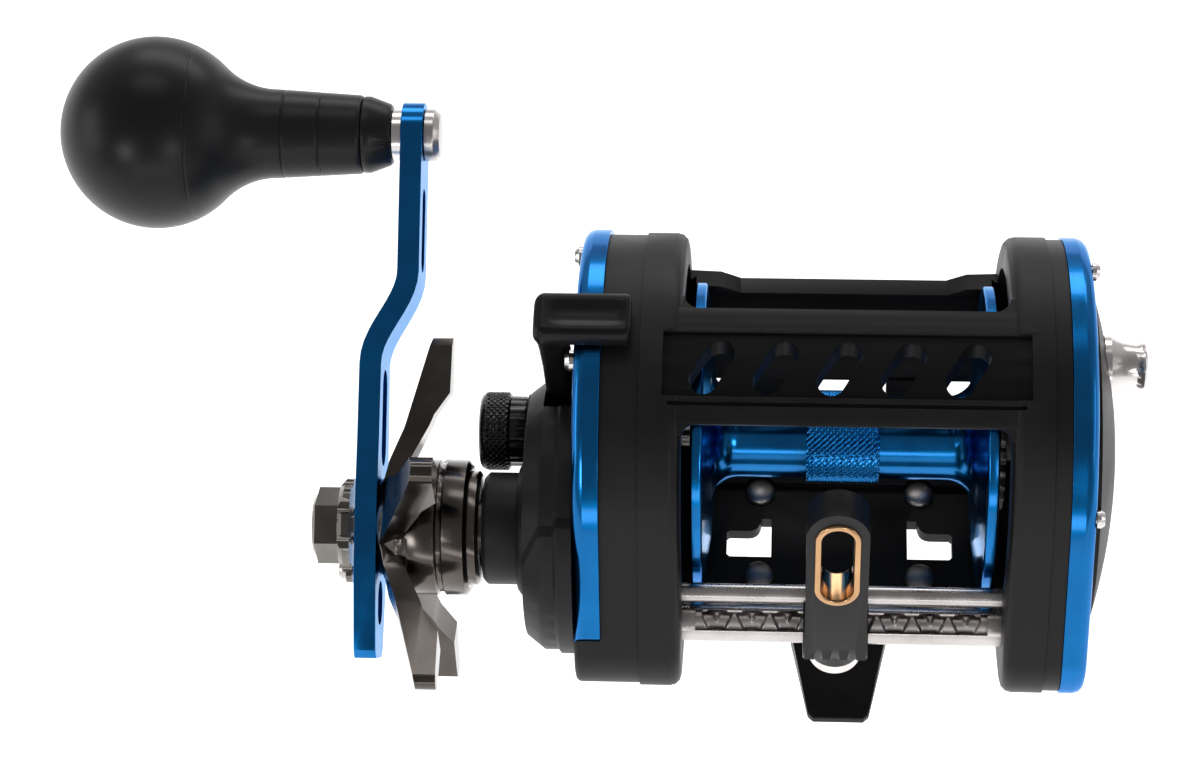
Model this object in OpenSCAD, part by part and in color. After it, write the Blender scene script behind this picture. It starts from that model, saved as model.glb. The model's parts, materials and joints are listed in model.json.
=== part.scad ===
// Star-drag trolling reel with a level wind.
// X runs along the spool axis, with the crank on the -X side. The rod tip is towards -Y.
// The origin is on the foot's underside, midway between the spool flanges and below the spool axis.
// Angles called "bearing" turn about X: 0 is towards the rod tip, 90 is straight up.

/* [Frame] */
// Height of the spool axis above the foot's underside
axis_h = 37; // [36:0.5:40]
// Radius of the side plates
plate_r = 36.6; // [36:0.1:38]
// Radius of the lobe of the side plates around the worm
lobe_r = 11.2; // [11:0.1:12]
// Distance from the middle to a frame cheek's inner face
cheek_in = 28.6; // [28.4:0.1:29]
// Distance from the middle to a frame cheek's outer face
cheek_out = 36; // [36:0.1:36.4]
// Number of slanted slots in the front crossbar
bar_slots = 5; // [3:1:5]
// Distance between neighbouring slots
slot_pitch = 11.1; // [9:0.1:11.5]
// Lean of the slots away from the rod's direction
slot_lean = 33; // [0:1:35]

/* [Spool] */
// Clear width between the flanges
spool_w = 50; // [46:0.5:50]
// Radius of the flanges
flange_r = 27.9; // [26:0.1:28.5]
// Radius of the arbor
arbor_r = 7.7; // [6:0.1:9]
// Width of the knurled band on the arbor
knurl_w = 13.2; // [8:0.1:20]

/* [Foot] */
// Length of the foot ahead of the spool axis
foot_front = 38.5; // [34:0.5:40]
// Length of the foot behind the spool axis
foot_rear = 33.5; // [30:0.5:38]
// Width of the foot's tongues where they leave the frame
foot_w = 18; // [16:0.5:20]
// Width of a tongue at its tip
foot_tip_w = 11.3; // [9:0.1:14]
// Rivets from the middle, across the foot
rivet_x = 15.2; // [14.5:0.1:16]

/* [Gears] */
// Tooth module of every gear
tooth_m = 0.75; // [0.75]
// Teeth of the main gear
main_teeth = 42; // [42]
// Teeth of the pinion
pinion_teeth = 10; // [10]
// Teeth of the cog on the spool
cog_teeth = 16; // [16]
// Teeth of the idler
idler_teeth = 27; // [27]
// Teeth of the worm's gear
worm_teeth = 24; // [24]

/* [Handle] */
// Distance from the crank's axis to the grip's axis
crank_len = 72; // [64:1:80]
// Radius of the ball of the grip
ball_r = 17.7; // [15:0.1:19]
// Thickness of the handle arm
arm_t = 4; // [3.5:0.1:4.2]
// Arms of the star wheel
star_arms = 5; // [3:1:6]
// Radius of the star wheel at the tips of its arms
star_r = 34.6; // [30:0.1:36]

/* [Line guide] */
// Width of the carriage
guide_w = 11; // [10:0.1:12]
// Resting place of the carriage across the reel
guide_x = -1; // [-4:0.5:4]
// Lean of the carriage away from the rod tip
guide_lean = 9.5; // [0:0.5:15]

/* [Hidden] */
$fn = 64;
// Main axes as [y, z]
crank_bearing_angle = -13;
worm_bearing_angle = -21.9;
rest_bearing = 145;
spool_at = [0, axis_h];
crank_d = (main_teeth + pinion_teeth) * tooth_m / 2;
idler_d = (cog_teeth + idler_teeth) * tooth_m / 2;
worm_d = idler_d + (idler_teeth + worm_teeth) * tooth_m / 2;
crank_at = around_spool(crank_d, crank_bearing_angle);
housing_at = around_spool(crank_d - 3, crank_bearing_angle);
idler_at = around_spool(idler_d, worm_bearing_angle);
worm_at = around_spool(worm_d, worm_bearing_angle);
cover_at = around_spool(3, worm_bearing_angle);
rod_at = worm_at + [2, 6.3];
grip_at = crank_at + crank_len * [-cos(rest_bearing), sin(rest_bearing)];

// Stations along X, as distances from the middle; the left side is +X and the crank side -X
bore_r = 29.3;
cheek_grow = 0.4;
cheek_round = 2;
left_plate = 39;
left_ring = 43.5;
cover_rim = 44.4;
cover_top = 49.2;
crank_web = 38.5;
crank_plate = 42.8;
ring_face = 47.6;
housing_face = 56.6;
boss_end = 64.8;
star_in = 65.3;
star_out = 83.8;
arm_bend = 6.4;
nut_in = 91.1;
nut_out = 96;
ring_grow = 0.9;
lobe_tip = 41.3;
housing_r = 25.3;
housing_wall = 1.9;
base_top = axis_h - 30;
foot_top = axis_h - 32.5;
gear_plane = [32.4, 34.6];
main_plane = [48.4, 52];
yoke_plane = [40.75, 42.15];
lever_bearing = 85;
lever_swing = 22;
yoke_travel = 1.8;
click_bearing = 102;
click_r = 17.5;
click_travel = 3;
ratchet_r = 13;
tube_r = 3.5;
worm_r = 2.35;
rod_r = 1.75;
shaft_r = 2.5;
crank_r = 3.5;
post_d = 11;
housing_screw_bearings = [74.5, 128, 180, 232];
left_screw_bearings = [29, 112, 196, 280];

function around_spool(r, bearing) = [-r * cos(bearing), axis_h + r * sin(bearing)];
function arc(centre, r, from, to, steps) =
    [for (i = [0:steps]) let(a = from + (to - from) * i / steps) centre + r * [cos(a), sin(a)]];
function involute(a) = tan(a) * 180 / PI - a;
function flank(r, base_r) = involute(r > base_r ? acos(base_r / r) : 0);
function tooth(middle, half) = [for (s = [-1, 1]) for (h = s < 0 ? half : reversed(half))
    h[0] * [cos(middle + s * h[1]), sin(middle + s * h[1])]];
function reversed(list) = [for (i = [len(list) - 1:-1:0]) list[i]];
// Outline of an involute gear: 20 degree flanks, thinned by play degrees on each side
function gear_points(teeth, play) =
    let(pitch_r = teeth * tooth_m / 2, base_r = pitch_r * cos(20),
        root_r = pitch_r - 1.25 * tooth_m, tip_r = pitch_r + 0.8 * tooth_m,
        at_pitch = 90 / teeth - play + flank(pitch_r, base_r),
        half = [for (i = [0:4]) let(r = root_r + (tip_r - root_r) * i / 4) [r, at_pitch - flank(r, base_r)]])
    [for (i = [0:teeth - 1]) each tooth(360 * i / teeth, half)];

// --- Shapes that repeat ---

// A slab with its outline in the Y-Z plane, from x0 to x1
module slab(x0, x1) {
    translate([min(x0, x1), 0, 0]) rotate([90, 0, 90]) linear_extrude(abs(x1 - x0)) children();
}
// A round bar along X
module rod(r, x0, x1, at = spool_at) {
    translate([min(x0, x1), at[0], at[1]]) rotate([0, 90, 0]) cylinder(r = r, h = abs(x1 - x0));
}
// A round tube along X
module tube(r_out, r_in, x0, x1, at = spool_at) {
    difference() {
        rod(r_out, x0, x1, at);
        rod(r_in, min(x0, x1) - 1, max(x0, x1) + 1, at);
    }
}
// A turned piece along X; its profile is a list of [radius, x]
module turned(profile, at = spool_at) {
    translate([0, at[0], at[1]]) rotate([0, 90, 0]) rotate_extrude($fn = 96) polygon(profile);
}
// Local frame at an axis: z points away from it at the bearing, y the way bearings grow
module facing(bearing, at = spool_at) {
    translate([0, at[0], at[1]]) rotate([90 - bearing, 0, 0]) children();
}
// Both cheeks, or anything else that is the same on both sides
module both_sides() {
    for (side = [0, 1]) mirror([side, 0, 0]) children();
}
// The side plates' outline: a circle on the spool axis and a lobe on the worm's axis, with common tangents
module plate_outline(grow = 0) {
    big = plate_r + grow;
    small = lobe_r + grow;
    touch = acos((big - small) / worm_d);
    axis_turn = 180 - worm_bearing_angle;
    ends = [for (side = [-1, 1]) [cos(axis_turn + side * touch), sin(axis_turn + side * touch)]];
    translate(spool_at) circle(r = big, $fn = 120);
    translate(worm_at) circle(r = small, $fn = 64);
    polygon([spool_at + big * ends[0], worm_at + small * ends[0], worm_at + small * ends[1],
        spool_at + big * ends[1]]);
}
// A plate of that outline whose outer edge at x1 is rounded
module rounded_plate(x0, x1, grow, round) {
    way = sign(x1 - x0);
    edge = [for (i = [0:3]) round * [cos(i * 30) - 1, way * (sin(i * 30) - 1)]];
    hull() for (disc = [[plate_r + grow, spool_at], [lobe_r + grow, worm_at]])
        turned(concat([[0, x0], [disc[0], x0]], [for (p = edge) [disc[0], x1] + p], [[0, x1]]), disc[1]);
}
// Part of a ring about the spool axis, between two bearings less than 180 degrees apart
module arc_band(r_in, r_out, from, to) {
    middle = (from + to) / 2;
    reach = 2 * r_out;
    intersection() {
        translate(spool_at) difference() {
            circle(r = r_out, $fn = 120);
            circle(r = r_in, $fn = 120);
        }
        polygon(concat([spool_at], [for (b = [from, middle, to]) around_spool(reach, b)]));
    }
}
// A straight slot with round ends, along Y
module round_slot(w, length) {
    run = (length - w) / 2;
    square([w, 2 * run], center = true);
    for (end = [-run, run]) translate([0, end]) circle(d = w);
}
// The concave corner that joins two edges
module corner_fill(r) {
    sweep_r = 1.15 * r;
    middle = (r + sqrt(2 * sweep_r * sweep_r - r * r)) / 2;
    difference() {
        translate([-1, -1]) square(r + 1);
        translate([middle, middle]) circle(r = sweep_r);
    }
}
// A screw along X: a domed head with a hexagon socket, and a plain shank
module screw(x, at, head_r, head_h, shank_r, shank_l, way = 1) {
    difference() {
        union() {
            turned([[0, x], [head_r, x], [head_r, x + way * head_h * 0.5],
                [head_r * 0.72, x + way * head_h], [0, x + way * head_h]], at);
            rod(shank_r, x, x - way * shank_l, at);
        }
        translate([x + way * head_h * 0.5, at[0], at[1]]) rotate([0, way * 90, 0])
            cylinder(r = head_r * 0.5, h = head_h, $fn = 6);
    }
}
module gear(teeth, play, x0, x1, at, turn) {
    slab(x0, x1) translate(at) rotate(turn) polygon(gear_points(teeth, play));
}
// A ball bearing shown as its two races and the shield between them
module ball_bearing(r_out, r_in, x0, x1, at) {
    step = 0.25;
    middle = (r_out + r_in) / 2;
    race = (r_out - r_in) * 0.24;
    turned([[r_in, x0], [r_in + race, x0], [r_in + race, x0 + step], [r_out - race, x0 + step],
        [r_out - race, x0], [r_out, x0], [r_out, x1], [r_out - race, x1], [r_out - race, x1 - step],
        [r_in + race, x1 - step], [r_in + race, x1], [r_in, x1]], at);
}

// --- Frame and foot ---

module frame() {
    bar_out = plate_r;
    bar_in = 32.3;
    inset = 0.25;
    bar = [55, 89.5];
    panel = [62.6, 81.5];
    groove = [60, 61.1];
    rear_in = 30;
    rear_out = 33.6;
    rear_top = axis_h + 5.8;
    window = [211, 232];
    color("#232122") difference() {
        union() {
            both_sides() {
                rounded_plate(cheek_out, cheek_in, cheek_grow, cheek_round);
                facing(bar[0]) translate([cheek_in, 0, bar_in + inset]) mirror([1, 0, 0]) mirror([0, 1, 0])
                    linear_extrude(bar_out - bar_in - 2 * inset) corner_fill(2.2);
                facing(bar[1]) translate([cheek_in, 0, bar_in + inset]) mirror([1, 0, 0])
                    linear_extrude(bar_out - bar_in - 2 * inset) corner_fill(3);
            }
            slab(-cheek_in - 1, cheek_in + 1) arc_band(bar_in, bar_out, bar[0], bar[1]);
            rear_shell(rear_in, rear_out, rear_top);
            translate([-cheek_in - 1, -22, foot_top]) cube([2 * cheek_in + 2, 44, base_top - foot_top]);
        }
        both_sides() {
            // Bore for the spool's flange, opened out towards the middle
            rod(bore_r, cheek_in - 1, cheek_out + 1);
            turned([[0, cheek_in - 1], [bore_r + 3, cheek_in - 1], [bore_r, cheek_in + 2], [0, cheek_in + 2]]);
            // Pocket for the worm's gear, then the seats of the bushing, the tube and the rod
            rod(10.1, 31.9, cheek_out + 1, worm_at);
            rod(4.6, 30, 32, worm_at);
            rod(tube_r + 0.03, cheek_in - 1, 30.1, worm_at);
            rod(rod_r + 0.03, cheek_in - 1, 31.2, rod_at);
            // Windows of the base
            window_cut();
            for (y = [9, -10.6]) translate([rivet_x, y, foot_top - 1]) cylinder(r = 1.82, h = 4);
            translate([rivet_x, 9, base_top]) cylinder(r = 3, h = 3);
            // Outer openings of the rear shell
            slab(19.5, cheek_in) arc_band(rear_in - 3, rear_out + 3, window[0], window[1]);
        }
        slab(-8.7, 8.7) arc_band(rear_in - 3, rear_out + 3, window[0], window[1]);
        // Sunken panel and the groove under it
        slab(-32, 32) arc_band(bar_out - 0.6, bar_out + 3, panel[0], panel[1]);
        slab(-31, 31) arc_band(bar_out - 0.5, bar_out + 3, groove[0], groove[1]);
        for (i = [0:bar_slots - 1]) translate([(i - (bar_slots - 1) / 2) * slot_pitch - 1.2, -11.4, axis_h + 20])
            rotate([0, 0, -slot_lean]) linear_extrude(20) round_slot(5, 10.4);
    }
}
// The curved wall behind the spool, with its top edge cut down between two ears
module rear_shell(r_in, r_out, top) {
    ear = [[19.3, 0], [23, 2.4], [cheek_in + 2, 3]];
    difference() {
        slab(-cheek_in - 1, cheek_in + 1) arc_band(r_in, r_out, 158, 250);
        translate([0, r_out + 5, top]) rotate([90, 0, 0]) linear_extrude(r_out)
            polygon(concat([for (p = reversed(ear)) [-p[0], p[1]]], ear, [[cheek_in + 2, 30], [-cheek_in - 2, 30]]));
    }
}
// One window of the base, with its notch at the inner rear corner
module window_cut() {
    linear_extrude(axis_h - 20) polygon(concat([[12.9, -6], [20.8, -6], [21.4, -5.4], [21.4, -0.5], [20.9, 0]],
        arc([17.2, 2.2], 2.2, 270, 190, 4), [[14.8, 2.9], [12.9, 2.9]]));
}
module foot() {
    tip_h = 1.6;
    shoulder = 21;
    ear_r = 4.5;
    color("#1f1e20") difference() {
        union() {
            intersection() {
                slab(-foot_w, foot_w) polygon([[-foot_front, 0], [foot_rear, 0], [foot_rear, tip_h],
                    [shoulder, foot_top], [-shoulder, foot_top], [-foot_front, tip_h]]);
                linear_extrude(foot_top) polygon([[-foot_w / 2, -shoulder], [-foot_tip_w / 2, -foot_front + 1],
                    [-foot_tip_w / 2 + 1, -foot_front], [foot_tip_w / 2 - 1, -foot_front],
                    [foot_tip_w / 2, -foot_front + 1], [foot_w / 2, -shoulder], [foot_w / 2, shoulder],
                    [foot_tip_w / 2, foot_rear - 1], [foot_tip_w / 2 - 1, foot_rear],
                    [-foot_tip_w / 2 + 1, foot_rear], [-foot_tip_w / 2, foot_rear - 1], [-foot_w / 2, shoulder]]);
            }
            for (x = [-rivet_x, rivet_x], y = [9, -10.6]) {
                translate([x, y, 2]) cylinder(r = ear_r, h = foot_top - 2);
                translate([min(x, 0), y - ear_r, 2]) cube([rivet_x, 2 * ear_r, foot_top - 2]);
            }
        }
        for (x = [-rivet_x, rivet_x], y = [9, -10.6]) translate([x, y, -1]) cylinder(r = 1.82, h = 9);
    }
}
module foot_rivets() {
    head_r = 2.9;
    color("#9a979a") for (x = [-rivet_x, rivet_x], y = [9, -10.6]) translate([x, y, 0])
        rotate_extrude() polygon(concat([[0, 0.8], [2.9, 0.8], [2.9, 2], [1.8, 2], [1.8, base_top],
            [head_r, base_top], [head_r, base_top + 0.7]],
            [for (a = [20:20:80]) [head_r * cos(a), base_top + 0.7 + 1.2 * sin(a)]], [[0, base_top + 1.9]]));
}

// --- Crank side ---

module crank_side_plate() {
    color("#28262a") difference() {
        union() {
            // Only the tip of the lobe stands out as far as the ring's face
            difference() {
                rounded_plate(-cheek_out, -ring_face, 0, 1);
                slab(-crank_plate, -ring_face - 1) beside_lobe_tip(0.1);
                rod(29.5, -crank_web, -ring_face);
            }
            rod(7.5, -33.2, -cheek_out - 1);
            rod(5.8, -crank_web + 1, -40);
            rod(6.6, -crank_web + 1, -42.6, crank_at);
        }
        rod(5.5, -33.6, -37.6);
        rod(3, -30, -38);
        rod(4.6, -37.5, -41);
        rod(5, -39, -43, crank_at);
        for (side = [0, 180]) facing(crank_bearing_angle + side) translate([-45, 0, post_d]) rotate([0, 90, 0])
            cylinder(r = 1.1, h = 10);
        // Room for the yoke's ear beside the crank's bearing
        facing(crank_bearing_angle) translate([-45, 0, post_d]) rotate([0, 90, 0]) cylinder(r = 3.3, h = 5.4);
    }
}
// Everything on the spool's side of the lobe's tip
module beside_lobe_tip(gap = 0) {
    reach = 90;
    translate(spool_at) rotate(180 - worm_bearing_angle) translate([lobe_tip - reach + gap, -reach / 2])
        square([reach, reach]);
}
module crank_side_ring() {
    color("#0a64b0") difference() {
        intersection() {
            rounded_plate(-crank_plate, -ring_face, ring_grow, 2);
            slab(-crank_plate + 1, -ring_face - 1) beside_lobe_tip();
        }
        rod(31, -crank_plate + 1, -ring_face - 1);
        for (b = housing_screw_bearings) rod(1.02, -crank_plate + 1, -ring_face - 1, around_spool(33, b));
    }
}
module gear_housing() {
    flange_in = 42.9;
    face_in = 46.4;
    rim_r = 30.9;
    cavity_r = 29;
    slot_r = [9, 27];
    color("#28262a") difference() {
        union() {
            rod(rim_r, -flange_in, -ring_face);
            turned([[0, -ring_face], [housing_r, -ring_face], [housing_r, -50.4], [housing_r - 0.7, -50.9],
                [housing_r - 0.7, -53.4], [housing_r - 3.2, -housing_face], [0, -housing_face]], housing_at);
            turned([[0, -housing_face], [12.4, -housing_face], [12.4, -57.6], [11.2, -58.5], [10.2, -58.5],
                [10.2, -boss_end + 0.8], [9.4, -boss_end], [0, -boss_end]], crank_at);
            turned([[0, -housing_face], [6.9, -housing_face], [6.9, -57.8], [4.92, -57.8], [4.92, -64],
                [0, -64]]);
        }
        rod(cavity_r, -flange_in + 1, -face_in);
        intersection() {
            rod(cavity_r, -face_in + 1, -ring_face);
            rod(housing_r - housing_wall, -face_in + 1, -ring_face, housing_at);
        }
        rod(housing_r - housing_wall, -ring_face, -54.8, housing_at);
        rod(5.4, -54, -57, crank_at);
        rod(7.6, -56.4, -64.2, crank_at);
        rod(8.2, -64.2, -66, crank_at);
        rod(2.6, -54, -65);
        // Slot that the clutch lever swings in
        slab(-face_in + 0.1, -53.5) arc_band(slot_r[0], slot_r[1], 64, 128.5);
    }
}
module housing_screws() {
    color("#c8c8ca") for (b = housing_screw_bearings)
        screw(-ring_face, around_spool(33, b), 1.9, 1.6, 1, 4.6, -1);
}
module crank_bearing() {
    color("#b5b6b8") ball_bearing(5, shaft_r + 0.05, -42.5, -39, crank_at);
}
module clutch_cam() {
    ring_out = 9.85;
    ramp_in = 6.5;
    lift = yoke_travel / 3.84;
    low = 39.7;
    top = yoke_plane[0] + yoke_travel - 0.25;
    root = low - 0.5;
    root_s = -3 + (yoke_plane[0] - 0.25 - root) / lift;
    color("#c9a44c") {
        tube(ring_out, 5.88, -38.7, -low);
        intersection() {
            rod(ring_out - 0.1, -45, -root);
            for (side = [0, 180]) facing(crank_bearing_angle + side) translate([0, 0, ramp_in]) linear_extrude(4)
                polygon([[-root, root_s], [-top, -6.84], [-top, -8.8], [-root, -8.8]]);
        }
        facing(lever_bearing) {
            translate([-45, -3, 7.8]) cube([6.3, 6, 3]);
            translate([-48.2, -3.2, 9.7]) cube([9, 6.4, 3.7]);
        }
    }
}
module clutch_lever() {
    outer = 53.2;
    inner = 48.2;
    tab = [38.2, 41.4];
    color("#1d1c1e") facing(lever_bearing) {
        slab(-outer, -inner) polygon([[-4.2, 9.6], [4.2, 9.6], [4.2, 18], [3.2, 26], [3.4, 36], [4.6, tab[0] + 0.1],
            [4.6, tab[1] - 1], [-4.6, tab[1] - 1], [-4.6, tab[0] + 0.1], [-3.4, 36], [-3.2, 26], [-4.2, 18]]);
        // Finger tab, across the top of the side plate
        translate([-53.4, 0, 0]) rotate([90, 0, 90]) linear_extrude(17) polygon(concat([[-4.8, tab[0]]],
            [[4.8, tab[0]]], arc([3.3, tab[1] - 1.5], 1.5, 0, 90, 4), arc([-3.3, tab[1] - 1.5], 1.5, 90, 180, 4)));
    }
}
module yoke() {
    color("#b8912f") slab(-yoke_plane[1], -yoke_plane[0]) difference() {
        union() {
            translate(spool_at) circle(r = 6.4);
            translate(spool_at) rotate(-crank_bearing_angle) difference() {
                union() {
                    translate([-post_d, -3]) square([2 * post_d, 6]);
                    for (side = [-1, 1]) translate([side * post_d, 0]) circle(r = 3);
                }
                for (side = [-1, 1]) translate([side * post_d, 0]) circle(r = 1.17);
            }
        }
        translate(spool_at) circle(r = 3.08);
        translate(spool_at) rotate(-crank_bearing_angle - 90) translate([0, -3.08]) square([9, 6.16]);
    }
}
module yoke_posts() {
    color("#b5b6b8") for (side = [0, 180]) facing(crank_bearing_angle + side) translate([0, 0, post_d])
        rotate([0, -90, 0]) {
            translate([0, 0, 36.4]) cylinder(r = 1.1, h = 9.7);
            translate([0, 0, 45.5]) cylinder(r = 2.2, h = 0.6);
        }
}
// Each spring is drawn as its stack of turns
module yoke_springs() {
    turns = 4;
    color("#8c8d90") for (side = [0, 180]) facing(crank_bearing_angle + side) translate([0, 0, post_d])
        rotate([0, -90, 0]) translate([0, 0, yoke_plane[1] + 0.05]) rotate_extrude() polygon(concat(
            [for (i = [0:2 * turns]) [i % 2 == 0 ? 1.45 : 1.75, 3.2 * i / (2 * turns)]],
            [for (i = [2 * turns:-1:0]) [i % 2 == 0 ? 1.95 : 2.25, 3.2 * i / (2 * turns)]]));
}
module pinion() {
    color("#c9a44c") difference() {
        union() {
            rod(4.2, -38.75, -40.65);
            rod(3, -40.6, -42.3);
            rod(4.4, -42.25, -43.4);
            rod(3.2, -43.4, -47);
            gear(pinion_teeth, 1.3, -52.6, -46.9, spool_at, 193 + 180 / pinion_teeth);
        }
        rod(shaft_r + 0.06, -38, -40.9);
        rod(2.06, -38, -53);
        // Slot that drives the spool shaft's cross pin
        facing(60) translate([-40.5, -1, -6]) cube([3, 2, 12]);
    }
}
module main_gear() {
    color("#c9a44c") difference() {
        union() {
            gear(main_teeth, 0.5, -main_plane[1], -main_plane[0], crank_at, 13);
            rod(9, -47.95, -main_plane[0], crank_at);
        }
        rod(crank_r + 0.05, -47, -53, crank_at);
        rod(12.6, -49.5, -53, crank_at);
    }
}
module drag_fibre_washers() {
    color("#2b2b2b") {
        tube(8, crank_r + 0.2, -47.9, -47.15, crank_at);
        for (x = [49.55, 51.15]) tube(12.3, crank_r + 0.2, -x - 0.7, -x, crank_at);
    }
}
module drag_steel_washers() {
    color("#b5b6b8") {
        tube(12.3, crank_r + 0.05, -51.1, -50.3, crank_at);
        tube(11.6, crank_r + 0.05, -52.8, -51.9, crank_at);
    }
}
module clutch_sleeve() {
    color("#c2c3c5") tube(5, crank_r + 0.05, -66.6, -52.85, crank_at);
}
module roller_bearing() {
    color("#a9aaad") difference() {
        ball_bearing(7.55, 5.06, -64.2, -56.5, crank_at);
        for (i = [0:7]) rotate_about(crank_at, i * 45) translate([-64.6, crank_at[0], crank_at[1] + 6.3])
            rotate([0, 90, 0]) cylinder(r = 0.5, h = 0.6, $fn = 16);
    }
}
module rotate_about(at, turn) {
    translate([0, at[0], at[1]]) rotate([turn, 0, 0]) translate([0, -at[0], -at[1]]) children();
}
module crank_shaft() {
    color("#8f9093") difference() {
        union() {
            rod(shaft_r, -39.2, -43.2, crank_at);
            rod(5.9, -45.6, -47.1, crank_at);
            rod(crank_r, -43.1, -88.6, crank_at);
            rod(3, -88.5, -nut_out + 2.1, crank_at);
        }
        // Flats that the handle arm fits over
        for (side = [-1, 1]) facing(rest_bearing, crank_at) translate([-89, side > 0 ? 2.7 : -4.7, -5])
            cube([5.2, 2, 10]);
    }
}
module tension_knob() {
    skirt_r = 6.5;
    knob_r = 7.3;
    color("#141416") difference() {
        union() {
            rod(skirt_r, -57.9, -61);
            turned([[0, -60.9], [knob_r - 0.4, -60.9], [knob_r, -61.3], [knob_r, -65.4], [knob_r - 1, -66.6],
                [4.6, -66.6], [4.2, -66.1], [0, -66.1]]);
        }
        rod(5, -57, -64.6);
    }
}
module tension_pad() {
    color("#6d6e70") rod(1.95, -57, -63.9);
}

// --- Left side ---

module left_side_plate() {
    color("#28262a") difference() {
        union() {
            slab(cheek_out, left_plate) plate_outline();
            rod(8, left_plate, 41.8);
        }
        rod(3, 35, 42);
        rod(5.5, 36.7, 40.7);
        rod(1.5, 35, 40, idler_at);
        facing(click_bearing) slab(35, 40) translate([0, click_r - click_travel / 2])
            round_slot(4.6, 4.6 + click_travel);
    }
}
module left_side_ring() {
    color("#0a64b0") difference() {
        rounded_plate(left_plate, left_ring, cheek_grow, 2);
        rod(31.2, left_plate - 1, left_ring + 1, cover_at);
        for (b = left_screw_bearings) rod(0.92, left_plate - 1, left_ring + 1, around_spool(34.6, b));
    }
}
// The cover's outer surface is a shallow dome
module left_cover() {
    wall = 1.6;
    rim = 31;
    floor_x = 46;
    outer = [for (i = [0:12]) [rim * (1 - i / 12), cover_top - (cover_top - cover_rim) * pow(1 - i / 12, 2)]];
    color("#242226") difference() {
        union() {
            difference() {
                turned(concat([[0, left_plate], [rim, left_plate]], outer), cover_at);
                turned(concat([[0, left_plate - 1], [rim - wall, left_plate - 1]],
                    [for (p = outer) [max(p[0] - wall, 0), p[1] - wall]]), cover_at);
            }
            intersection() {
                turned(concat([[0, left_plate], [rim, left_plate]], outer), cover_at);
                facing(click_bearing) slab(floor_x - 1.5, cover_top) translate([0, click_r - click_travel / 2])
                    round_slot(15, 15 + click_travel);
            }
        }
        facing(click_bearing) {
            slab(floor_x, cover_top + 1) translate([0, click_r - click_travel / 2])
                round_slot(11.9, 11.9 + click_travel);
            slab(floor_x - 3, floor_x + 1) translate([0, click_r - click_travel / 2])
                round_slot(4.6, 4.6 + click_travel);
        }
    }
}
module left_screws() {
    color("#c8c8ca") for (b = left_screw_bearings)
        screw(left_ring, around_spool(34.6, b), 1.6, 1.4, 0.9, 4.4, 1);
}
module click_button() {
    color("#d5d6d8") difference() {
        union() {
            turned([[0, 46.2], [5.5, 46.2], [5.5, 47.4], [4.4, 49.6], [3.9, 52], [4.4, 53.4], [4, 53.8], [0, 53.8]],
                around_spool(click_r, click_bearing));
            rod(2, 31, 47, around_spool(click_r, click_bearing));
        }
        facing(click_bearing) translate([53, -0.7, click_r - 5]) cube([2, 1.4, 10]);
    }
}
module click_pawl() {
    color("#b5b6b8") facing(click_bearing) slab(27.7, 29.5) polygon([[-2.6, click_r + 2.4], [-2.6, click_r - 0.6],
        [-0.4, click_r - 0.95], [0.4, click_r - 0.95], [2.6, click_r - 0.6], [2.6, click_r + 2.4]]);
    color("#b5b6b8") rod(2, 29.5, 31, around_spool(click_r, click_bearing));
}
// Leaf plate under the side plate that the button drags against
module click_plate() {
    color("#8c8d90") difference() {
        facing(click_bearing) slab(39.05, 39.7) translate([0, click_r - click_travel / 2]) square([13, 15], center = true);
        facing(click_bearing) slab(38, 41) translate([0, click_r - click_travel / 2])
            round_slot(4.6, 4.6 + click_travel);
    }
}

// --- Spool and level-wind drive ---

module spool() {
    half = spool_w / 2;
    outer = half + 2.3;
    hub = arc([arbor_r + 5.2, half - 6.2], 5.2, 180, 118, 6);
    color("#0a64b0") turned(concat([[shaft_r, -outer + 0.6]], [[12, -outer + 0.6], [13, -outer], [22, -outer + 0.6],
        [26, -outer], [flange_r, -outer + 0.3], [flange_r, -half - 0.3], [flange_r - 0.4, -half]],
        [[26.6, -half], [19, -half + 1.1]], [for (p = reversed(hub)) [p[0], -p[1]]],
        [[arbor_r, -knurl_w / 2 - 0.4], [arbor_r + 0.9, -knurl_w / 2], [arbor_r + 0.9, knurl_w / 2],
        [arbor_r, knurl_w / 2 + 0.4]], hub, [[19, half - 1.1], [26.6, half]],
        [[flange_r - 0.4, half], [flange_r, half + 0.3], [flange_r, outer - 0.3], [26, outer], [22, outer - 0.6],
        [13, outer], [12, outer - 0.6], [shaft_r, outer - 0.6]]));
}
module spool_shaft() {
    color("#b5b6b8") {
        rod(shaft_r, -40.5, 41);
        rod(2, -56.8, -40.4);
        facing(60) translate([-39.7, 0, -3.6]) cylinder(r = 0.75, h = 7.2);
    }
}
module spool_bearing_left() {
    color("#b5b6b8") ball_bearing(5.48, shaft_r + 0.05, 36.7, 40.7, spool_at);
}
module spool_bearing_right() {
    color("#b5b6b8") ball_bearing(5.48, shaft_r + 0.05, -37.6, -33.7, spool_at);
}
module click_ratchet() {
    count = 24;
    color("#b5b6b8") slab(27.35, 29.2) difference() {
        translate(spool_at) polygon([for (i = [0:count - 1]) each [
            (ratchet_r - 1.2) * [cos(i * 360 / count), sin(i * 360 / count)],
            ratchet_r * [cos((i + 0.35) * 360 / count), sin((i + 0.35) * 360 / count)],
            ratchet_r * [cos((i + 0.65) * 360 / count), sin((i + 0.65) * 360 / count)]]]);
        translate(spool_at) circle(r = shaft_r + 0.02);
    }
}
module spool_cog() {
    color("#dcdcd2") difference() {
        union() {
            gear(cog_teeth, 0.7, gear_plane[0], gear_plane[1], spool_at, 201.9);
            rod(4, 29.2, gear_plane[0]);
        }
        rod(shaft_r + 0.02, 29, 36);
    }
}
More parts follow.
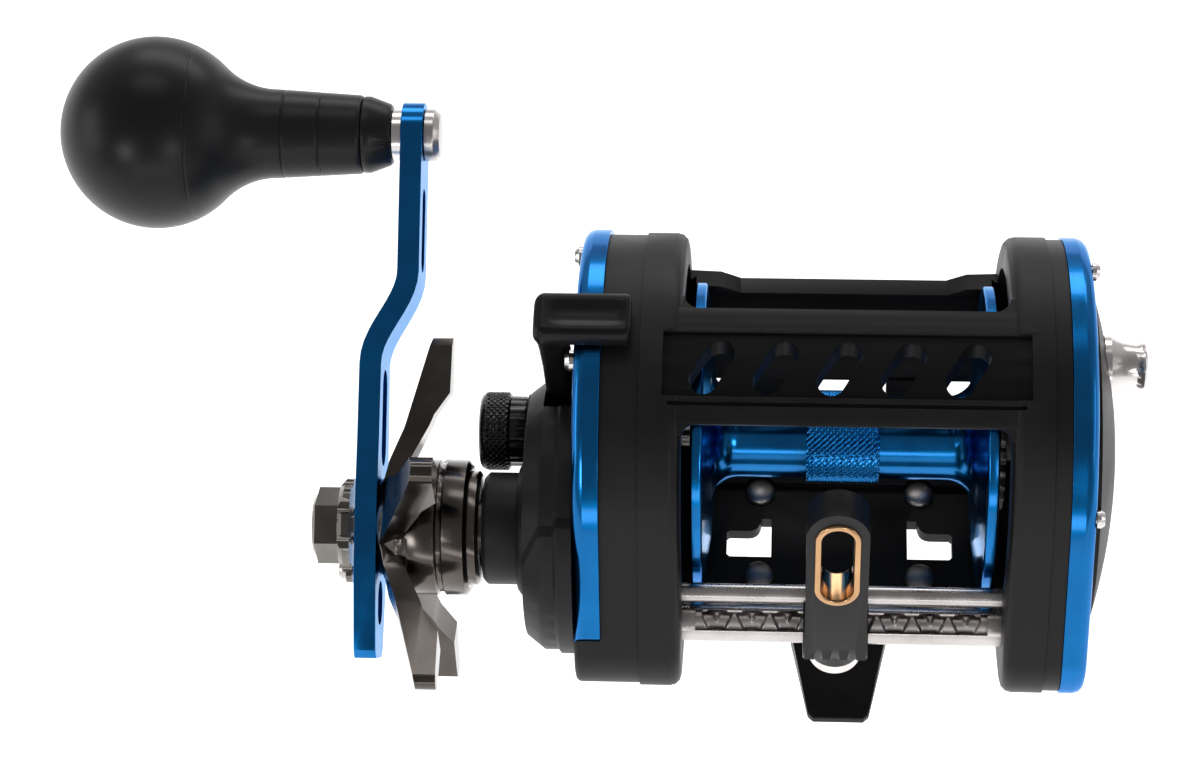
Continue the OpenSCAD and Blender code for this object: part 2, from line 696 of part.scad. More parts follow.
module idler_gear() {
    color("#dcdcd2") difference() {
        gear(idler_teeth, 0.45, gear_plane[0], gear_plane[1], idler_at, 21.9 + 180 / idler_teeth);
        rod(1.56, 30, 36, idler_at);
        tube(7.6, 3.2, gear_plane[0] - 1, gear_plane[0] + 0.6, idler_at);
    }
}
module idler_stud() {
    color("#b5b6b8") {
        rod(1.5, 31.6, left_plate - 0.1, idler_at);
        rod(2.6, 31.5, 32.1, idler_at);
        tube(2.4, 1.5, 35, cheek_out, idler_at);
    }
}
module worm_gear() {
    color("#dcdcd2") difference() {
        gear(worm_teeth, 0.5, gear_plane[0], gear_plane[1], worm_at, 21.9 + 180 / worm_teeth);
        rod(1.82, 30, 36, worm_at);
    }
}
module worm_shaft() {
    color("#b9b9bb") {
        rod(worm_r, -29.9, 29.9, worm_at);
        rod(1.8, -32.6, 35.4, worm_at);
    }
}
module worm_tube() {
    slot_l = 52.4;
    color("#a8a6a6") difference() {
        tube(tube_r, tube_r - 0.75, -30, 30, worm_at);
        // Upper slot, and the lower one that the pawl reaches through
        facing(62, worm_at) translate([-slot_l / 2, -1.9, 0]) cube([slot_l, 3.8, 6]);
        facing(-90, worm_at) translate([-24.6, -1.6, 0]) cube([49.2, 3.2, 6]);
    }
}
module worm_bushings() {
    color("#c8b070") both_sides() tube(4.58, 1.85, 30.05, 31.85, worm_at);
}
module guide_rod() {
    color("#c4c4c6") rod(rod_r, -31.1, 31.1, rod_at);
}

// --- Line guide ---

// Local frame of the carriage: the worm's axis is the origin, z runs up the leaning plate, -y to its front
module carriage_frame() {
    translate([guide_x, worm_at[0], worm_at[1]]) rotate([-guide_lean, 0, 0]) children();
}
plate_front = 7;
plate_back = 0.4;
plate_top = 34;
eye_z = 22;
eye = [8.1, 19.6];
module line_guide() {
    half = guide_w / 2;
    color("#1c1b1d") difference() {
        union() {
            rod(6.2, guide_x - half - 0.3, guide_x + half + 0.3, worm_at);
            carriage_frame() {
                translate([0, -plate_back, 0]) rotate([90, 0, 0]) linear_extrude(plate_front - plate_back) {
                    translate([-half, 0]) square([guide_w, plate_top - half]);
                    translate([0, plate_top - half]) circle(r = half);
                }
                slab(-half, half) polygon([[-plate_front, -2], [-plate_front, 9], [0.6, 9.4], [3.4, 7.6], [3.8, 3],
                    [5.6, 0], [0, -2]]);
            }
            translate([guide_x, worm_at[0], worm_at[1] - 6.6]) cylinder(r = 4.9, h = 6.4);
        }
        rod(tube_r + 0.07, guide_x - half - 1, guide_x + half + 1, worm_at);
        rod(rod_r + 0.07, guide_x - half - 1, guide_x + half + 1, rod_at);
        carriage_frame() translate([0, 4, eye_z]) rotate([90, 0, 0]) linear_extrude(14) round_slot(eye[0], eye[1]);
        translate([guide_x, worm_at[0], worm_at[1] - 9]) cylinder(r = 2.9, h = 6);
        // Flutes down the lower front
        for (x = [-3, 0, 3]) translate([guide_x + x, worm_at[0] - 7.6, worm_at[1] - 9]) cylinder(r = 0.9, h = 12);
    }
}
module guide_ring() {
    color("#c79a54") carriage_frame() translate([0, -plate_back + 0.4, eye_z]) rotate([90, 0, 0])
        linear_extrude(plate_front - plate_back + 0.8) difference() {
            round_slot(eye[0], eye[1]);
            round_slot(eye[0] - 2.3, eye[1] - 2.3);
        }
}
module guide_pawl() {
    color("#b5b6b8") translate([guide_x, worm_at[0], worm_at[1]]) {
        translate([0, 0, -8]) cylinder(r = 2.85, h = 4.3);
        translate([-0.5, -1.4, -4]) cube([1, 2.8, 1.5]);
    }
}
module pawl_cap() {
    color("#cfcfd2") translate([guide_x, worm_at[0], worm_at[1]]) difference() {
        rotate_extrude() polygon([[0, -9.4], [4.3, -9.4], [4.7, -9], [4.7, -6.65], [2.9, -6.65], [2.9, -8.05],
            [0, -8.05]]);
        translate([-6, -0.6, -10]) cube([12, 1.2, 1.2]);
    }
}

// --- Star wheel, handle and grip ---

module star_wheel() {
    hub_in = 79;
    tip = [73.3, 77.2];
    color("#4a4644") difference() {
        union() {
            turned([[crank_r + 0.06, -star_in], [9.6, -star_in], [10.4, -star_in - 0.6], [10.4, -67.2], [11.4, -67.2],
                [12.3, -67.9], [12.3, -71.6], [11.7, -72], [11.7, -72.7], [12.3, -73.1], [12.3, -77.6], [11.5, -hub_in],
                [11.5, -hub_in - 1], [9, -star_out + 0.5], [8.4, -star_out + 0.05], [crank_r + 0.06, -star_out + 0.05]],
                crank_at);
            for (i = [0:star_arms - 1]) star_arm(rest_bearing - 2 + i * 360 / star_arms);
        }
        rod(7.4, -star_in + 1, -71.4, crank_at);
        rod(6.1, -71, -77.9, crank_at);
    }
}
// One arm: bent towards the frame along its length, and narrowed towards its tip
module star_arm(bearing) {
    inner = [[-79.5, 6], [-78.4, 12], [-75, 18.5], [-74.2, 20.5], [-71.4, 24.5], [-71.2, star_r]];
    outer = [[-83.5, 6], [-82, 12], [-79.6, 18], [-74.9, star_r]];
    facing(bearing, crank_at) intersection() {
        translate([0, 10, 0]) rotate([90, 0, 0]) linear_extrude(20) polygon(concat(inner, reversed(outer)));
        slab(-90, -70) polygon(concat([[-6, 6], [-5.2, 13], [-3.6, 19], [-3, 26], [-2.4, star_r - 1.4]],
            arc([0, star_r - 2.1], 2.1, 160, 20, 6), [[2.4, star_r - 1.4], [3, 26], [3.6, 19], [5.2, 13], [6, 6]]));
    }
}
module star_nut() {
    color("#c9a44c") difference() {
        rod(6.05, -77.8, -72.2, crank_at);
        rod(crank_r + 0.05, -78, -72, crank_at);
    }
}
module star_springs() {
    color("#8c8d90") for (x = [67, 68.5, 70]) turned([[crank_r + 0.3, -x], [7, -x - 0.7], [7, -x - 1.2],
        [crank_r + 0.3, -x - 0.5]], crank_at);
}
module handle_arm() {
    tail = -24;
    end = crank_len + 6.2;
    inner = star_out;
    bend = [29.5, 46.5];
    steps = 10;
    middle = inner + arm_t / 2;
    path = concat([[middle, tail]], [for (i = [0:steps]) [middle - arm_bend * (1 - cos(180 * i / steps)) / 2,
        bend[0] + (bend[1] - bend[0]) * i / steps]], [[middle - arm_bend, end]]);
    lean = [for (i = [0:len(path) - 1]) let(a = path[max(i - 1, 0)], b = path[min(i + 1, len(path) - 1)])
        (b - a) / norm(b - a)];
    side = [for (i = [0:len(path) - 1]) arm_t / 2 * [lean[i][1], -lean[i][0]]];
    strip = concat([for (i = [0:len(path) - 1]) path[i] + side[i]],
        reversed([for (i = [0:len(path) - 1]) path[i] - side[i]]));
    tip_r = 5.9;
    color("#0a64b0") facing(rest_bearing, crank_at) difference() {
        intersection() {
            translate([0, 12, 0]) rotate([90, 0, 0]) linear_extrude(24) polygon([for (p = strip) [-p[0], p[1]]]);
            slab(-95, -70) polygon(concat([[-5.4, tail + 1.4], [-4, tail], [4, tail], [5.4, tail + 1.4], [8.2, -8],
                [8.25, 6], [7.3, 16]], [[tip_r, 46]], arc([0, crank_len], tip_r, 0, 180, 16),
                [[-tip_r, 46], [-7.3, 16], [-8.25, 6], [-8.2, -8]]));
        }
        // Seat on the crank shaft's flats, and the grip's hole
        intersection() {
            rod(crank_r + 0.04, -95, -80, [0, 0]);
            translate([-95, -2.74, -5]) cube([20, 5.48, 10]);
        }
        rod(3.02, -95, -70, [0, crank_len]);
        slab(-95, -70) {
            translate([0, 54.3]) round_slot(4.6, 15.4);
            translate([0, 19.8]) round_slot(6, 17.6);
            translate([0, -14]) round_slot(6, 8);
        }
        rod(0.85, -95, -80, [0, -8.2]);
    }
}
module handle_nut() {
    color("#3e3b3a") difference() {
        union() {
            translate([-nut_out + 0.6, crank_at[0], crank_at[1]]) rotate([90 - rest_bearing, 0, 0])
                rotate([0, 90, 0]) cylinder(r = 7, h = nut_out - nut_in - 0.6, $fn = 6);
            turned([[0, -nut_out + 0.61], [6, -nut_out + 0.61], [5.2, -nut_out], [0, -nut_out]], crank_at);
        }
        rod(3.04, -nut_in + 1, -nut_out + 1.7, crank_at);
    }
}
module nut_retainer() {
    lobes = 8;
    color("#34312f") difference() {
        union() {
            turned([[3.2, -88.9], [8.6, -88.9], [8.6, -90.2], [7.6, -nut_in], [3.2, -nut_in]], crank_at);
            rod(2.2, -88.9, -90, around_crank(-8.2));
        }
        for (i = [0:lobes - 1]) facing(rest_bearing + (i + 0.5) * 360 / lobes, crank_at)
            translate([-95, 0, 9.3]) rotate([0, 90, 0]) cylinder(r = 1.7, h = 10);
        rod(0.85, -80, -95, around_crank(-8.2));
        rod(1.65, -90, -95, around_crank(-8.2));
    }
}
function around_crank(z) = crank_at + z * [-cos(rest_bearing), sin(rest_bearing)];
module retainer_screw() {
    color("#8f9093") screw(-90, around_crank(-8.2), 1.6, 1.4, 0.8, 5.2, -1);
}
ball_x = -127.3;
neck_r = 8.2;
waist_r = 14;
waist_x = ball_x + sqrt(pow(ball_r + waist_r, 2) - pow(neck_r + waist_r, 2));
waist_turn = atan2(neck_r + waist_r, waist_x - ball_x);
grip_in = -88.8;
module grip() {
    ball = arc([ball_x, 0], ball_r, 166, waist_turn, 20);
    waist = arc([waist_x, neck_r + waist_r], waist_r, 180 + waist_turn, 270, 10);
    outline = concat(ball, waist, [[grip_in - 0.5, 7.25], [grip_in, 6.8]]);
    bore = 4.6;
    color("#1b1a1b") turned(concat([for (p = outline) [p[1], p[0]]], [[bore, grip_in], [bore, -141], [4.28, -141],
        [4.28, ball[0][0]]]), grip_at);
}
module grip_collar() {
    color("#161516") turned([[3.1, grip_in], [6.8, grip_in], [7.05, -88.5], [7.05, -87.4], [5.7, -83.8], [5.3, -83.4],
        [3.1, -83.4]], grip_at);
}
module grip_cap() {
    color("#121112") turned([[0, -143.3], [3, -144], [4.2, -144.2], [4.2, -140], [0, -140]], grip_at);
}
module grip_spindle() {
    color("#b9b9bb") turned([[0, -138], [3, -138], [3, -77.3], [4.8, -77.3], [4.8, -75.6], [3.8, -74.5], [0, -74.2]],
        grip_at);
}
module grip_washer() {
    color("#c4c4c6") tube(4.7, 3.02, -83.3, -81.5, grip_at);
}
module grip_bushings() {
    color("#c8b070") for (x = [-96, -137.5]) tube(4.57, 3.05, x, x + 5, grip_at);
}

frame();
foot();
foot_rivets();
crank_side_plate();
crank_side_ring();
gear_housing();
housing_screws();
left_side_plate();
left_side_ring();
left_cover();
left_screws();
spool();
spool_shaft();
spool_bearing_left();
spool_bearing_right();
spool_cog();
click_ratchet();
idler_gear();
idler_stud();
worm_gear();
worm_shaft();
worm_tube();
worm_bushings();
guide_rod();
line_guide();
guide_ring();
guide_pawl();
pawl_cap();
crank_shaft();
crank_bearing();
main_gear();
drag_fibre_washers();
drag_steel_washers();
clutch_sleeve();
roller_bearing();
pinion();
yoke();
yoke_posts();
yoke_springs();
clutch_cam();
clutch_lever();
star_wheel();
star_nut();
star_springs();
handle_arm();
handle_nut();
nut_retainer();
retainer_screw();
grip();
grip_collar();
grip_cap();
grip_spindle();
grip_washer();
grip_bushings();
tension_knob();
tension_pad();
click_button();
click_pawl();
click_plate();
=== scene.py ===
import json
import math

import bmesh
import bpy
from mathutils import Matrix, Vector


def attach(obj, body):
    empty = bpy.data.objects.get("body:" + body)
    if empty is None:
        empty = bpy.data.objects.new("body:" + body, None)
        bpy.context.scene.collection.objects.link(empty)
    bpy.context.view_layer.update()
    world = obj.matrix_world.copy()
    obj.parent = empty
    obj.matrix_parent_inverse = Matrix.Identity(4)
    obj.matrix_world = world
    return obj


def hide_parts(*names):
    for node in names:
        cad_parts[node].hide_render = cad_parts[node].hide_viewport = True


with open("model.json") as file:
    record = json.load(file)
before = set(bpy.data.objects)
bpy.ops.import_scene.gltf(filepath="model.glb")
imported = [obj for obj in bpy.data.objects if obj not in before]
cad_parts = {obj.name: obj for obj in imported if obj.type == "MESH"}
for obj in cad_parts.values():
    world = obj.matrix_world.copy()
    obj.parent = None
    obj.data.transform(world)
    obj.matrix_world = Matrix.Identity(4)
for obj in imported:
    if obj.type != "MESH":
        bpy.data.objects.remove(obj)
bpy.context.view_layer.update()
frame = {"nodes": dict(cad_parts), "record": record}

MM = 0.001
SPOOL_AXIS = (0.0, 37.0)          # y and z of each turning axis, in mm
CRANK_AXIS = (-19.0, 32.613)
WORM_AXIS = (-32.706, 23.852)
GRIP_AXIS = (39.979, 73.911)
GUIDE_X = -1.0                    # where the carriage rests across the reel, in mm
GUIDE_LEAN = 9.5                  # lean of the carriage away from the rod tip, in degrees
LEVER_BEARING = 85.0
DARK_SIDE = (0.0, -0.574, 0.819)  # the way that the studio is darkest
FLOOR_Z = -0.30
FLOOR_REACH = 6.0


# --- Camera, light and floor ---

def aim(thing, target, roll=0.0):
    """Points a camera or lamp at target, in metres. At roll 0 the X axis runs level in its view."""
    way = (Vector(target) - thing.location).normalized()
    right = Vector((1, 0, 0))
    right = (right - right.dot(way) * way).normalized()
    turn = Matrix((right, right.cross(way), -way)).transposed()
    turn = turn @ Matrix.Rotation(roll, 3, "Z")
    thing.rotation_mode = "QUATERNION"
    thing.rotation_quaternion = turn.to_quaternion()


def studio():
    """The camera, a pale floor and soft lamps."""
    scene = bpy.context.scene
    lens = bpy.data.cameras.new("camera")
    lens.lens, lens.sensor_width = 95.8, 36.0
    lens.clip_start, lens.clip_end = 0.01, 20
    camera = bpy.data.objects.new("camera", lens)
    scene.collection.objects.link(camera)
    camera.location = (-0.0099, -0.3600, 0.5015)
    aim(camera, (-0.0450, 0.0076, 0.0429), math.radians(0.85))
    scene.camera = camera

    world = bpy.data.worlds.new("studio")
    scene.world = world
    world.use_nodes = True
    tree = world.node_tree
    back = tree.nodes["Background"]
    where = tree.nodes.new("ShaderNodeTexCoord")
    facing = tree.nodes.new("ShaderNodeVectorMath")
    facing.operation = "DOT_PRODUCT"
    facing.inputs[1].default_value = DARK_SIDE
    fade = tree.nodes.new("ShaderNodeMapRange")
    fade.interpolation_type = "SMOOTHSTEP"
    for socket, value in zip(list(fade.inputs)[1:5], (-0.2, 0.8, 0.56, 0.24)):
        socket.default_value = value
    seen = tree.nodes.new("ShaderNodeLightPath")
    plain = tree.nodes.new("ShaderNodeMix")
    plain.inputs[3].default_value = 0.96
    tree.links.new(where.outputs["Generated"], facing.inputs[0])
    tree.links.new(facing.outputs["Value"], fade.inputs[0])
    tree.links.new(seen.outputs["Is Camera Ray"], plain.inputs[0])
    tree.links.new(fade.outputs[0], plain.inputs[2])
    tree.links.new(plain.outputs[0], back.inputs["Color"])

    mesh = bpy.data.meshes.new("floor")
    mesh.from_pydata([(x * FLOOR_REACH, y * FLOOR_REACH, FLOOR_Z)
                      for x, y in ((-1, -1), (1, -1), (1, 1), (-1, 1))], [], [(0, 1, 2, 3)])
    floor = bpy.data.objects.new("floor", mesh)
    scene.collection.objects.link(floor)
    paint = bpy.data.materials.new("floor_white")
    paint.use_nodes = True
    shader = paint.node_tree.nodes["Principled BSDF"]
    shader.inputs["Base Color"].default_value = (0.86, 0.86, 0.86, 1)
    shader.inputs["Roughness"].default_value = 0.9
    shader.inputs["Emission Color"].default_value = (1, 1, 1, 1)
    shader.inputs["Emission Strength"].default_value = 0.9
    mesh.materials.append(paint)

    middle = Vector((-0.02, 0.0, 0.04))
    for name, place, width, height, power in (
        ("lamp_back", (0.05, 0.8, 0.5), 0.9, 0.3, 2.6),
        ("lamp_top", (-0.15, 0.35, 0.95), 0.5, 0.2, 0.8),
        ("lamp_front", (0.0, -0.85, 0.13), 0.9, 0.12, 1.1),
        ("lamp_left", (-0.85, -0.1, 0.25), 0.3, 0.5, 1.0),
        ("lamp_right", (0.85, -0.1, 0.3), 0.3, 0.5, 0.6),
        ("spot_left", (-0.45, -0.57, 0.33), 0.17, 0.17, 0.8),
        ("spot_right", (0.27, -0.66, 0.41), 0.17, 0.17, 0.8),
    ):
        data = bpy.data.lights.new(name, "AREA")
        data.shape, data.size, data.size_y, data.energy = "RECTANGLE", width, height, power
        lamp = bpy.data.objects.new(name, data)
        scene.collection.objects.link(lamp)
        lamp.location = place
        aim(lamp, middle)

    scene.view_settings.view_transform = "Standard"
    scene.view_settings.look = "None"
    scene.cycles.max_bounces = 8
    scene.cycles.use_denoising = True


studio()


# --- Materials ---

class Look:
    """A node material under construction. Lengths are in mm, in the part's own frame."""

    def __init__(self, name):
        self.material = bpy.data.materials.new(name)
        self.material.use_nodes = True
        self.tree = self.material.node_tree
        self.shader = self.tree.nodes["Principled BSDF"]
        place = self.add("ShaderNodeTexCoord")
        self.place = self.add("ShaderNodeVectorMath", {0: place.outputs["Object"], "Scale": 1 / MM},
                              operation="SCALE").outputs[0]

    def add(self, kind, inputs=None, **props):
        node = self.tree.nodes.new(kind)
        for key, value in props.items():
            setattr(node, key, value)
        for key, value in (inputs or {}).items():
            self.feed(node.inputs[key], value)
        return node

    def feed(self, socket, value):
        if isinstance(value, bpy.types.NodeSocket):
            self.tree.links.new(value, socket)
        elif socket.type == "RGBA":
            socket.default_value = (*value, 1)
        else:
            socket.default_value = value

    def set(self, **inputs):
        for key, value in inputs.items():
            self.feed(self.shader.inputs[key.replace("_", " ")], value)

    def maths(self, operation, *values):
        return self.add("ShaderNodeMath", dict(enumerate(values)), operation=operation).outputs[0]

    def noise(self, size, detail=2.0, vector=None, rough=0.55):
        """Noise from 0 to 1 whose blobs are about size mm across."""
        return self.add("ShaderNodeTexNoise", {"Vector": vector or self.place, "Scale": 1 / size,
                                               "Detail": detail, "Roughness": rough}).outputs["Fac"]

    def between(self, value, low, high, start=0.3, end=0.7):
        """Value from start to end turned into a number from low to high."""
        return self.add("ShaderNodeMapRange", {"Value": value, "From Min": start, "From Max": end,
                                               "To Min": low, "To Max": high}).outputs[0]

    def mix(self, share, a, b):
        node = self.add("ShaderNodeMix", data_type="RGBA")
        self.feed(node.inputs[0], share)
        self.feed(node.inputs[6], a)
        self.feed(node.inputs[7], b)
        return node.outputs[2]

    def turned(self, axis, angle_scale=0.3):
        """Coordinates about an axis along X: x, radius, and a little of the angle, so noise runs round it."""
        split = self.add("ShaderNodeSeparateXYZ", {0: self.place})
        y = self.maths("SUBTRACT", split.outputs[1], axis[0])
        z = self.maths("SUBTRACT", split.outputs[2], axis[1])
        squares = self.maths("ADD", self.maths("MULTIPLY", y, y), self.maths("MULTIPLY", z, z))
        radius = self.maths("SQRT", squares)
        angle = self.maths("MULTIPLY", self.maths("ARCTAN2", z, y), angle_scale)
        return self.add("ShaderNodeCombineXYZ", {0: split.outputs[0], 1: radius, 2: angle}).outputs[0]

    def bump(self, height, depth, under=None):
        """Bump of about depth mm from a height of 0 to 1."""
        inputs = {"Height": height, "Distance": depth * MM, "Strength": 1.0}
        if under is not None:
            inputs["Normal"] = under
        return self.add("ShaderNodeBump", inputs).outputs[0]

    def edges(self, radius, start=0.02, end=0.18):
        """1 along convex and concave edges, from a bevel of radius mm, else 0."""
        soft = self.add("ShaderNodeBevel", {"Radius": radius * MM}, samples=4).outputs[0]
        plain = self.add("ShaderNodeNewGeometry").outputs["Normal"]
        dot = self.add("ShaderNodeVectorMath", {0: soft, 1: plain}, operation="DOT_PRODUCT").outputs["Value"]
        return self.between(self.maths("SUBTRACT", 1.0, dot), 0.0, 1.0, start, end)


def plastic(name, dark, light, rough, grain=0.1, depth=0.004, coat=0.0, wear=None, specular=0.5, patch=14.0,
            painted_shade_radii=None):
    """Moulded or coated black: fine grain, patches of slightly different sheen, paler rubbed edges, and, if
    asked, painted shade on the floor of a recessed panel.
    """
    look = Look(name)
    broad = look.noise(patch, 4)
    fine = look.noise(grain, 3)
    colour = look.mix(look.between(broad, 0, 1), dark, light)
    if wear:
        patchy = look.between(look.noise(1.2, 5), 0, 1, 0.45, 0.75)
        rub = look.maths("MULTIPLY", look.edges(0.35), patchy)
        colour = look.mix(look.maths("MULTIPLY", rub, wear[1]), colour, wear[0])
    if painted_shade_radii:
        # Painted shade: the recessed floor of the frame's panel, between these two radii, is darkened and its
        # specular lowered
        radius = look.add("ShaderNodeSeparateXYZ", {0: look.turned(SPOOL_AXIS)}).outputs[1]
        painted_shade = look.maths("MULTIPLY", look.between(radius, 0.0, 1.0, painted_shade_radii[0], painted_shade_radii[0] + 0.05),
                            look.between(radius, 1.0, 0.0, painted_shade_radii[1] - 0.05, painted_shade_radii[1]))
        colour = look.mix(painted_shade, colour, (0.0042, 0.0038, 0.0038))
        specular = look.between(painted_shade, specular, specular * 0.55, 0.0, 1.0)
    spread = rough[1] - rough[0]
    look.set(Base_Color=colour, Specular_IOR_Level=specular, Coat_Weight=coat, Coat_Roughness=0.12,
             Roughness=look.maths("ADD", look.between(broad, rough[0], rough[1]),
                                  look.between(fine, -0.2 * spread, 0.2 * spread)),
             Normal=look.bump(fine, depth))
    return look.material


def metal(name, dark, light, rough, axis=None, line=0.12, depth=0.0012, coat=0.0, tint=(1, 1, 1), patch=9.0,
          wear=None):
    """Metal with the fine lines of turning about axis, or a fine even grain, and cloudy roughness."""
    look = Look(name)
    broad = look.noise(patch, 4)
    fine = look.noise(line, 3, look.turned(axis)) if axis else look.noise(line, 3)
    colour = look.mix(look.between(broad, 0, 1), dark, light)
    if wear:
        patchy = look.between(look.noise(0.9, 5), 0.25, 1, 0.4, 0.7)
        rub = look.maths("MULTIPLY", look.edges(0.3), patchy)
        colour = look.mix(look.maths("MULTIPLY", rub, wear[1]), colour, wear[0])
    look.set(Base_Color=colour, Metallic=1.0, Specular_Tint=tint, Coat_Weight=coat, Coat_Roughness=0.08,
             Roughness=look.maths("ADD", look.between(broad, rough[0], rough[1]),
                                  look.between(fine, -0.03, 0.03)),
             Normal=look.bump(fine, depth))
    return look.material


BLUE_TINT = (0.25, 0.6, 0.95)

LOOKS = {
    # frame_black paints shade on the recessed floor of its panel, between radii 35.5 and 36.3 mm
    "frame_black": plastic("frame_black", (0.0068, 0.0062, 0.0065), (0.0105, 0.0097, 0.01), (0.4, 0.52),
                           grain=0.16, depth=0.006, wear=((0.06, 0.056, 0.058), 0.5), specular=0.2,
                           painted_shade_radii=(35.5, 36.3)),
    "foot_black": plastic("foot_black", (0.006, 0.0055, 0.006), (0.01, 0.0092, 0.0092), (0.38, 0.5),
                          grain=0.22, depth=0.007, wear=((0.42, 0.41, 0.4), 0.9), specular=0.16),
    "blue_anodised": metal("blue_anodised", (0.0, 0.12, 0.36), (0.0, 0.155, 0.44), (0.17, 0.25), SPOOL_AXIS,
                           coat=0.3, tint=BLUE_TINT),
    "gunmetal": metal("gunmetal", (0.062, 0.053, 0.048), (0.105, 0.092, 0.083), (0.16, 0.24), CRANK_AXIS,
                      coat=0.2, wear=((0.24, 0.21, 0.18), 0.5)),
    "nickel": metal("nickel", (0.6, 0.57, 0.56), (0.72, 0.69, 0.68), (0.16, 0.25), None, line=0.09),
    "steel": metal("steel", (0.44, 0.41, 0.4), (0.58, 0.55, 0.54), (0.22, 0.34), WORM_AXIS),
    "rivet_grey": metal("rivet_grey", (0.3, 0.28, 0.27), (0.42, 0.4, 0.39), (0.34, 0.45), None),
    "brass_gear": metal("brass_gear", (0.56, 0.36, 0.13), (0.72, 0.49, 0.2), (0.22, 0.34), None),
    "ring_bronze": metal("ring_bronze", (0.42, 0.24, 0.12), (0.56, 0.34, 0.18), (0.16, 0.26), None),
    "grip_rubber": plastic("grip_rubber", (0.0058, 0.0055, 0.006), (0.0095, 0.009, 0.0097), (0.3, 0.38),
                           grain=0.12, depth=0.0025, patch=22, specular=0.2),
    "gloss_black": plastic("gloss_black", (0.005, 0.005, 0.0055), (0.009, 0.009, 0.01), (0.16, 0.26),
                           grain=0.2, depth=0.001, coat=0.15, specular=0.3),
    "carriage_black": plastic("carriage_black", (0.0068, 0.0066, 0.007), (0.0115, 0.011, 0.0115), (0.3, 0.42),
                              grain=0.14, depth=0.004, specular=0.25),
    "acetal_white": plastic("acetal_white", (0.62, 0.61, 0.57), (0.74, 0.73, 0.69), (0.3, 0.42)),
    "drag_fibre": plastic("drag_fibre", (0.05, 0.05, 0.05), (0.1, 0.1, 0.1), (0.55, 0.7), grain=0.3,
                          depth=0.02),
    # Pieces whose look differs a little from that of their slot
    "worm_steel": metal("worm_steel", (0.4, 0.37, 0.37), (0.58, 0.54, 0.54), (0.34, 0.46), WORM_AXIS,
                        line=0.1),
    "nut_dark": metal("nut_dark", (0.12, 0.112, 0.102), (0.2, 0.188, 0.172), (0.14, 0.22), CRANK_AXIS,
                      wear=((0.4, 0.37, 0.33), 0.5)),
    "lever_black": plastic("lever_black", (0.0055, 0.0052, 0.0058), (0.009, 0.0085, 0.0092), (0.3, 0.4),
                           grain=0.15, depth=0.003, specular=0.16),
}

slots = {part["node"]: part["material_slot"] for part in frame["record"]["subparts"]}


# --- Edge-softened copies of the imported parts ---

def clean_copy(node):
    """The node's mesh with shared corners and flat faces in one piece."""
    bm = bmesh.new()
    bm.from_mesh(frame["nodes"][node].data)
    bmesh.ops.remove_doubles(bm, verts=bm.verts, dist=2e-6)
    bmesh.ops.dissolve_degenerate(bm, dist=2e-6, edges=bm.edges)
    bmesh.ops.dissolve_limit(bm, angle_limit=math.radians(1.0), verts=bm.verts, edges=bm.edges)
    return bm


def show(name, bm, body, slot_name, replaced=(), look=None, smooth=32, bevel=0.0):
    """A finished piece: shaded, rounded by bevel mm along its sharp edges, painted, and riding its body."""
    mesh = bpy.data.meshes.new(name)
    bm.to_mesh(mesh)
    bm.free()
    mesh.set_sharp_from_angle(angle=math.radians(smooth))
    for face in mesh.polygons:
        face.use_smooth = True
    thing = bpy.data.objects.new(name, mesh)
    bpy.context.scene.collection.objects.link(thing)
    mesh.materials.append(look or LOOKS[slot_name])
    if bevel:
        step = thing.modifiers.new("edges", "BEVEL")
        step.width, step.segments, step.limit_method = bevel * MM, 2, "ANGLE"
        step.angle_limit = math.radians(smooth)
        step.harden_normals = True
        step.use_clamp_overlap = True
        step.miter_outer = "MITER_ARC"
    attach(thing, body)
    if replaced:
        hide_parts(*replaced)
    return thing


# --- Shapes made here ---

def fillet(points, radius, steps=4):
    """A closed outline with each corner rounded by up to radius."""
    out = []
    for i, here in enumerate(points):
        before, after = Vector(points[i - 1]), Vector(points[(i + 1) % len(points)])
        here = Vector(here)
        into, away = before - here, after - here
        if min(into.length, away.length) < 1e-6:
            continue
        if abs(into.normalized().dot(away.normalized()) + 1) < 0.01:
            out.append(tuple(here))
            continue
        start = here + into.normalized() * min(radius, into.length * 0.45)
        end = here + away.normalized() * min(radius, away.length * 0.45)
        for k in range(steps + 1):
            t = k / steps
            out.append(tuple(start * (1 - t) ** 2 + here * 2 * t * (1 - t) + end * t * t))
    return out


def on_axis(axis, x, r, angle):
    return (x * MM, (axis[0] + r * math.cos(angle)) * MM, (axis[1] + r * math.sin(angle)) * MM)


def lathe(outline, axis, steps=144, shape=None):
    """A ring turned about an axis along X from a closed outline of (x, radius) points.

    shape may change the radius at a point.
    """
    bm = bmesh.new()
    rings = []
    for k in range(steps):
        angle = math.tau * k / steps
        rings.append([bm.verts.new(on_axis(axis, x, shape(x, r, angle) if shape else r, angle))
                      for x, r in outline])
    for k in range(steps):
        here, there = rings[k], rings[(k + 1) % steps]
        for i in range(len(outline)):
            j = (i + 1) % len(outline)
            bm.faces.new((here[i], here[j], there[j], there[i]))
    bmesh.ops.remove_doubles(bm, verts=bm.verts, dist=1e-7)
    bmesh.ops.dissolve_degenerate(bm, dist=1e-8, edges=bm.edges)
    bmesh.ops.recalc_face_normals(bm, faces=bm.faces)
    return bm


def loft(rings, closed=False):
    """A skin over rings of points that all hold the same number, capped at both ends unless it is closed."""
    bm = bmesh.new()
    made = [[bm.verts.new(tuple(v * MM for v in p)) for p in ring] for ring in rings]
    pairs = list(zip(made, made[1:])) + ([(made[-1], made[0])] if closed else [])
    for here, there in pairs:
        for i in range(len(here)):
            j = (i + 1) % len(here)
            bm.faces.new((here[i], here[j], there[j], there[i]))
    if not closed:
        bm.faces.new(made[0][::-1])
        bm.faces.new(made[-1])
    bmesh.ops.recalc_face_normals(bm, faces=bm.faces)
    return bm


